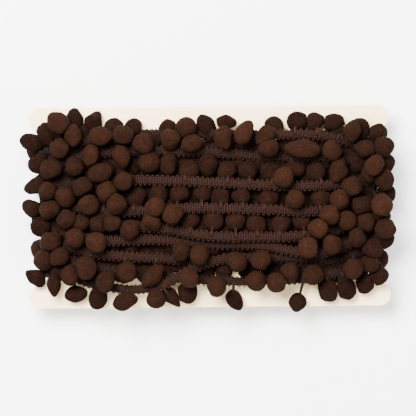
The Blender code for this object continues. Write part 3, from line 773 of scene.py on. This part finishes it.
def lumps(points, random, lengths, height):
    """Soft uneven lumps over a surface, from a few crossing waves."""
    total = np.zeros(len(points))
    for length in lengths:
        way = random.normal(size=3)
        way *= 2.0 * math.pi / length / np.linalg.norm(way)
        total += np.sin(points @ way + random.uniform(0.0, 2.0 * math.pi))
    return height * total / math.sqrt(len(lengths))


def directions(count, random):
    """Several directions, even all round."""
    ways = random.normal(size=(count, 3))
    return ways / np.linalg.norm(ways, axis=1)[:, None]


def pinched_ball(template, long_way, stretch, random):
    """A ball of radius one as steaming leaves it: flat cheeks, drawn out one way, often to a peak."""
    cheeks = directions(CHEEKS, random)
    depth = random.uniform(*CHEEK_DEPTH, CHEEKS)
    facing = np.clip(template @ cheeks.T, 0.0, None) / depth
    reach = ((facing**CHEEK_CRISP).sum(1) + BALL_REACH**-CHEEK_CRISP) ** (-1.0 / CHEEK_CRISP)
    along = template @ long_way
    near, far = random.uniform(0.0, PEAK, 2)
    reach = reach + near * np.exp((along - 1.0) / PEAK_SPREAD)
    reach = reach + far * np.exp((-along - 1.0) / PEAK_SPREAD)
    shape = template * reach[:, None]
    shape = shape + np.outer(shape @ long_way, long_way) * (stretch - 1.0)
    return shape / stretch ** (1.0 / 3.0)


def pompom_points(template, k, yarns, slices, random):
    """The yarn surface of one pompom, lumpy and pinched, and pressed flat where something touches it."""
    surface = pinched_ball(template, yarns.long_way[k], yarns.stretch[k], random) * yarns.radius[k]
    surface += template * lumps(surface, random, LUMP_WAVES, LUMP_HEIGHT)[:, None]
    for x, y, z, reach in pressing_planes(k, yarns):
        way = np.array([x, y, z])
        over = surface @ way - reach
        pushed = 0.5 * (over + np.sqrt(over * over + PRESS_SOFT**2)) - 0.5 * PRESS_SOFT * PRESS_SETTLE
        surface -= np.clip(pushed, 0.0, None)[:, None] * way
    surface += template * lumps(surface, random, TUFT_WAVES, TUFT_HEIGHT)[:, None]
    surface = dent_round_braids(surface + yarns.centre[k], yarns.centre[k], slices)
    surface[:, 2] = np.maximum(surface[:, 2], FLOOR_CLEAR - FLOOR)
    return surface


def pompoms_bmesh(chosen, yarns, slices, random, level):
    """Several pompoms in one bmesh, each an icosphere whose points are moved."""
    bm = bmesh.new()
    layer = bm.verts.layers.float.new("tone")
    for k in chosen:
        verts = bmesh.ops.create_icosphere(bm, subdivisions=level, radius=1.0)["verts"]
        template = np.array([vertex.co for vertex in verts])
        for vertex, place in zip(verts, pompom_points(template, k, yarns, slices, random)):
            vertex.co = place
            vertex[layer] = yarns.tone[k]
    return bm


def settle_places(centres):
    """The solids' places, with the row along the card's top edge drawn in and the ends uneven."""
    centres = centres.copy()
    top = (centres[:, 1] > TOP_ROW) & (centres[:, 2] > 0.0)
    centres[top, 1] -= np.interp(centres[top, 0], *zip(*TOP_ROW_DRAW))
    for side, draws in ((-1.0, LEFT_END_DRAW), (1.0, RIGHT_END_DRAW)):
        ends = side * centres[:, 0] > END_COLUMN
        centres[ends, 0] -= side * np.interp(centres[ends, 1], *zip(*draws))
    return centres


def over_view(spot, height):
    """The place, at a height over the card's middle, that shows at a spot of the camera's view."""
    step = VIEW_WIDE / GRID * (1.0 - height / (CAMERA_HIGH / MM))
    right, up = (spot[0] - GRID / 2.0) * step, (GRID / 2.0 - spot[1]) * step
    turn = math.radians(CAMERA_TURN)
    return np.array([CAMERA_OFFSET[0] + right * math.cos(turn) - up * math.sin(turn),
                     CAMERA_OFFSET[1] + right * math.sin(turn) + up * math.cos(turn)])


def draw_to_spots(centres):
    """Each front pompom drawn a little towards the spot nearest to it, one pompom to a spot."""
    front = np.flatnonzero(centres[:, 2] > 0.0)
    places = np.array([[over_view(spot, centres[k, 2]) for k in front] for spot in SPOTS])
    pulls = places - centres[front, :2]
    apart = np.linalg.norm(pulls, axis=2)
    centres = centres.copy()
    free_spots, free_pompoms = set(range(len(SPOTS))), set(range(len(front)))
    for order in apart.ravel().argsort():
        i, j = divmod(int(order), len(front))
        if apart[i, j] > SPOT_REACH:
            break
        if i in free_spots and j in free_pompoms:
            free_spots.discard(i)
            free_pompoms.discard(j)
            centres[front[j], :2] += pulls[i, j] * min(1.0, SPOT_PULL / max(apart[i, j], WELD))
    centres[:, 0] = np.clip(centres[:, 0], -FRONT_REACH, FRONT_REACH)
    return centres


def loose_pompoms(slices):
    """The few pompoms that lie over a braid, each rooted in the braid under it."""
    found = []
    above = slices.middle[:, 2] > WINDING_HALF_THICK
    for spot in LOOSE_SPOTS:
        place = over_view(spot, HIGH_LEVEL)
        j = (np.linalg.norm(slices.middle[:, :2] - place, axis=1) + FAR * ~above).argmin()
        root = slices.middle[j]
        found.append((slices.turn[j], np.array([*place, root[2] + LOOSE_RISE]), LEAST_RADIUS, root))
    return found


def all_yarns(outer, radii, roots, random):
    """Every pompom: the outer ones near their solids, and the deep ones that fill the gaps."""
    centre = draw_to_spots(settle_places(outer))
    deep = inner_places(centre, random)
    tie_way = roots - centre
    tie_way /= np.linalg.norm(tie_way, axis=1)[:, None]
    long_way = np.vstack([tie_way + LONG_WAY_SPREAD * directions(len(outer), random),
                          directions(len(deep), random)])
    centre = np.vstack([centre, deep])
    radius = np.concatenate([np.maximum(radii, LEAST_RADIUS), np.full(len(deep), INNER_RADIUS)])
    stretch = random.uniform(*STRETCH, len(centre))
    for shape in SHAPES:
        apart = np.hypot(outer[:, 0] - shape.x, outer[:, 1] - shape.y) + FAR * (outer[:, 2] < 0.0)
        k = apart.argmin()
        if apart[k] < SHAPE_REACH:
            turn = math.radians(shape.turn)
            long_way[k] = (math.cos(turn), math.sin(turn), 0.0)
            stretch[k] = shape.long / shape.wide
            radius[k] = (shape.long * shape.wide**2) ** (1.0 / 3.0) / 2.0
    long_way /= np.linalg.norm(long_way, axis=1)[:, None]
    # Painted shade: pompoms lower down are given a darker tone, where less light reaches them; the
    # uneven part is their own tone.
    height = np.clip((np.abs(centre[:, 2]) - TONE_FROM) / TONE_RISE, 0.0, 1.0)
    uneven = random.uniform(-TONE_SPREAD, TONE_SPREAD, len(centre))
    tone = DEEP_SHADED_TONE + (TOP_LIT_TONE - DEEP_SHADED_TONE) * height + uneven
    return Yarn(centre, radius, long_way, stretch, tone)


def inner_places(centres, random):
    """Pompoms of the hidden turns, wherever the outer ones leave a gap, in front and behind."""
    found = []
    rows = int(WINDING_HALF_WIDE * 2.0 / INNER_PITCH) + 1
    columns = int(WINDING_HALF_LONG * 2.0 / INNER_PITCH)
    for side in (1.0, -1.0):
        for row in range(rows):
            for column in range(columns):
                x = (column + 0.5 * (row % 2) - (columns - 0.5) / 2.0) * INNER_PITCH
                y = (row - (rows - 1) / 2.0) * INNER_PITCH
                stray = random.uniform(-INNER_STRAY, INNER_STRAY, 3) * STRAY_SHARES
                place = np.array([x, y, side * INNER_LEVEL]) + stray
                if np.linalg.norm(centres - place, axis=1).min() > INNER_CLEAR:
                    found.append(place)
    found += [np.array([*over_view(spot, GAP_LEVEL), GAP_LEVEL]) for spot in GAP_SPOTS]
    return np.array(found)


def round_route(points, count):
    """A smooth route through a few points (Catmull-Rom)."""
    points = np.vstack([2.0 * points[0] - points[1], points, 2.0 * points[-1] - points[-2]])
    route = []
    for i in range(1, len(points) - 2):
        before, start, end, after = points[i - 1:i + 3]
        for t in np.linspace(0.0, 1.0, count, endpoint=False):
            route.append(0.5 * (2.0 * start + (end - before) * t
                                + (2.0 * before - 5.0 * start + 4.0 * end - after) * t**2
                                + (3.0 * start - before - 3.0 * end + after) * t**3))
    return np.array(route + [points[-2]])


def tie_routes(k, yarns, root, slices):
    """Two yarns side by side out of a pompom, over its braid's edge and down into the braid."""
    centre, radius = yarns.centre[k], yarns.radius[k]
    j = np.linalg.norm(slices.middle - root, axis=1).argmin()
    middle, wide, face = slices.middle[j], slices.wide[j], slices.face[j]
    across = (centre - middle) @ wide
    side = math.copysign(1.0, across) * wide
    if abs(across) > STRIP_WIDE / 2.0:
        stops = [middle + side * out + face * up for out, up in TIE_STOPS]
    else:
        stops = [middle + (centre - middle) * SHORT_TIE_SHARE, middle + face * SHORT_TIE_FOOT]
    way = stops[0] - centre
    way /= np.linalg.norm(way)
    apart = np.cross(way, face)
    apart /= max(np.linalg.norm(apart), WELD)
    start = [centre + way * (radius - TIE_SUNK), centre + way * (radius - TIE_OUT)]
    return [round_route(np.array(start + stops) + apart * shift, TIE_STEPS)
            for shift in (-TIE_YARN, TIE_YARN)]


# ---------------------------------------------------------------- card and winding


def card_bmesh():
    """The dog-bone board with softly rounded arrises."""
    quarter = []
    for share in np.linspace(0.0, 1.0, OUTLINE_STEPS):
        ease = 0.5 - 0.5 * math.cos(math.pi * share**EAR_LEAN)
        x = WAIST_HALF_LONG + (CARD_HALF_LONG - WAIST_HALF_LONG) * ease
        quarter.append((x, WAIST_HALF_WIDE + (EAR_START - WAIST_HALF_WIDE) * share))
    for angle in np.linspace(0.0, math.pi / 2.0, OUTLINE_STEPS):
        x = CARD_HALF_LONG - CARD_CORNER * (1.0 - math.cos(angle))
        quarter.append((x, CARD_HALF_WIDE - CARD_CORNER * (1.0 - math.sin(angle))))
    right = [(x, -y) for x, y in reversed(quarter)] + quarter
    outline = right + [(-x, -y) for x, y in right]
    bm = bmesh.new()
    base = bm.faces.new([bm.verts.new((x, y, -CARD_HALF_THICK)) for x, y in outline])
    top = bmesh.ops.extrude_face_region(bm, geom=[base])["geom"]
    lifted = [item for item in top if isinstance(item, bmesh.types.BMVert)]
    bmesh.ops.translate(bm, verts=lifted, vec=Vector((0.0, 0.0, 2.0 * CARD_HALF_THICK)))
    bmesh.ops.recalc_face_normals(bm, faces=bm.faces)
    rims = [edge for edge in bm.edges if abs(edge.verts[0].co.z - edge.verts[1].co.z) < WELD]
    bmesh.ops.bevel(bm, geom=rims, offset=ARRIS, offset_type="OFFSET", segments=2, profile=0.5,
                    affect="EDGES", material=-1)
    return bm


def winding_bmesh():
    """The hidden turns' braids as one ribbed tube round the waist."""
    bm = bmesh.new()
    bmesh.ops.create_grid(bm, x_segments=WINDING_AROUND, y_segments=WINDING_ROWS, size=0.5)
    half_arc = WINDING_AROUND // 2 - 1
    centre = WINDING_HALF_LONG - WINDING_HALF_THICK
    for vertex in bm.verts:
        station = int(round((vertex.co.x + 0.5) * WINDING_AROUND)) % WINDING_AROUND
        row = int(round((vertex.co.y + 0.5) * WINDING_ROWS))
        side = 1.0 if station <= half_arc else -1.0
        angle = math.pi * (0.5 - (station % (half_arc + 1)) / half_arc)
        radius = WINDING_HALF_THICK - GROOVE_DEPTH * (row % 4 == 0) - RIB_DEPTH * (row % 2)
        x = side * (centre + radius * math.cos(angle))
        y = WINDING_HALF_WIDE * (2.0 * row / WINDING_ROWS - 1.0)
        vertex.co = Vector((x, y, side * radius * math.sin(angle)))
    bmesh.ops.remove_doubles(bm, verts=bm.verts, dist=WELD)
    bmesh.ops.recalc_face_normals(bm, faces=bm.faces)
    bmesh.ops.solidify(bm, geom=bm.faces[:], thickness=-WINDING_WALL)
    bmesh.ops.recalc_face_normals(bm, faces=bm.faces)
    # The rim's faces come in another order on each run, so all faces are sorted by their corners.
    bm.verts.index_update()
    in_order = sorted(bm.faces, key=lambda face: sorted(vertex.index for vertex in face.verts))
    for index, face in enumerate(in_order):
        face.index = index
    bm.faces.sort()
    return bm


# ---------------------------------------------------------------- stage


def add_camera():
    """A camera straight above the card."""
    data = bpy.data.cameras.new("camera")
    data.sensor_width = SENSOR
    data.lens = SENSOR * CAMERA_HIGH / (VIEW_WIDE * MM)
    camera = bpy.data.objects.new("camera", data)
    x, y = (offset * MM for offset in CAMERA_OFFSET)
    camera.location = (CARD_MIDDLE[0] + x, CARD_MIDDLE[1] + y, CARD_MIDDLE[2] + CAMERA_HIGH)
    camera.rotation_euler = (0.0, 0.0, math.radians(CAMERA_TURN))
    bpy.context.scene.collection.objects.link(camera)
    bpy.context.scene.camera = camera


def add_light(light):
    """A white square softbox that faces the world's middle."""
    data = bpy.data.lights.new(light.name, "AREA")
    data.shape = "SQUARE"
    data.size = light.size
    data.energy = light.power
    lamp = bpy.data.objects.new(light.name, data)
    lamp.location = light.place
    lamp.rotation_euler = Vector(light.place).to_track_quat("Z", "Y").to_euler()
    bpy.context.scene.collection.objects.link(lamp)


def add_stage():
    """A pale floor, an even sky and two softboxes."""
    bm = bmesh.new()
    bmesh.ops.create_grid(bm, x_segments=1, y_segments=1, size=FLOOR_SIZE)
    mesh = bpy.data.meshes.new("floor")
    bm.to_mesh(mesh)
    bm.free()
    material, _, shader = new_material("matt white paper sweep", Roughness=0.9)
    shader.inputs["Base Color"].default_value = linear("#FCFCFC")
    mesh.materials.append(material)
    floor = bpy.data.objects.new("floor", mesh)
    bpy.context.scene.collection.objects.link(floor)
    world = bpy.data.worlds.new("studio")
    world.use_nodes = True
    sky = world.node_tree.nodes["Background"]
    sky.inputs["Color"].default_value = (1.0, 1.0, 1.0, 1.0)
    sky.inputs["Strength"].default_value = SKY_STRENGTH
    bpy.context.scene.world = world
    for light in LIGHTS:
        add_light(light)


# ---------------------------------------------------------------- assembly


def main():
    """Builds every piece, then the stage and the camera."""
    random = np.random.default_rng(SEED)
    yarn, gimp, core, board = pompom_yarn(), braid_yarn(), core_in_painted_shade(), ivory_board()
    finish_piece("card_board", card_bmesh(), board, "card")

    paths = []
    for index in range(len(RUNS)):
        path, _ = fine_path(index, np.random.default_rng(SEED + index))
        paths.append((path, *path_frame(path, np.zeros(len(path)))))
    slices = all_slices(paths)
    found = [(index, *pompom) for index, run in enumerate(RUNS) for pompom in find_pompoms(run.name)]
    found += loose_pompoms(slices)
    owner = np.array([row[0] for row in found])
    outer, roots = (np.array([row[column] for row in found]) for column in (1, 3))
    radii = np.array([row[2] for row in found])
    yarns = all_yarns(outer, radii, roots, random)

    for index, run in enumerate(RUNS):
        body, yarns_over = braid_meshes(index, np.random.default_rng(SEED + index))
        finish_piece(run.name + "_core", body, core, run.name)
        finish_piece(run.name + "_braid", yarns_over, gimp, run.name)
        chosen = np.flatnonzero(owner == index)
        balls = pompoms_bmesh(chosen, yarns, slices, random, OUTER_LEVEL)
        finish_piece(run.name + "_pompoms", balls, yarn, run.name)
        routes = [route for k in chosen for route in tie_routes(k, yarns, roots[k], slices)]
        ties = bmesh.new()
        ties.verts.layers.float.new("tone")
        merge(ties, tube_curve("tie", routes, TIE_YARN, YARN_SIDES), TIE_TONE)
        finish_piece(run.name + "_ties", ties, gimp, run.name)
    finish_piece("inner_turns", winding_bmesh(), core, "inner_winding")
    deep = pompoms_bmesh(range(len(outer), len(yarns.centre)), yarns, slices, random, DEEP_LEVEL)
    finish_piece("inner_pompoms", deep, yarn, "inner_winding")

    add_stage()
    add_camera()


main()
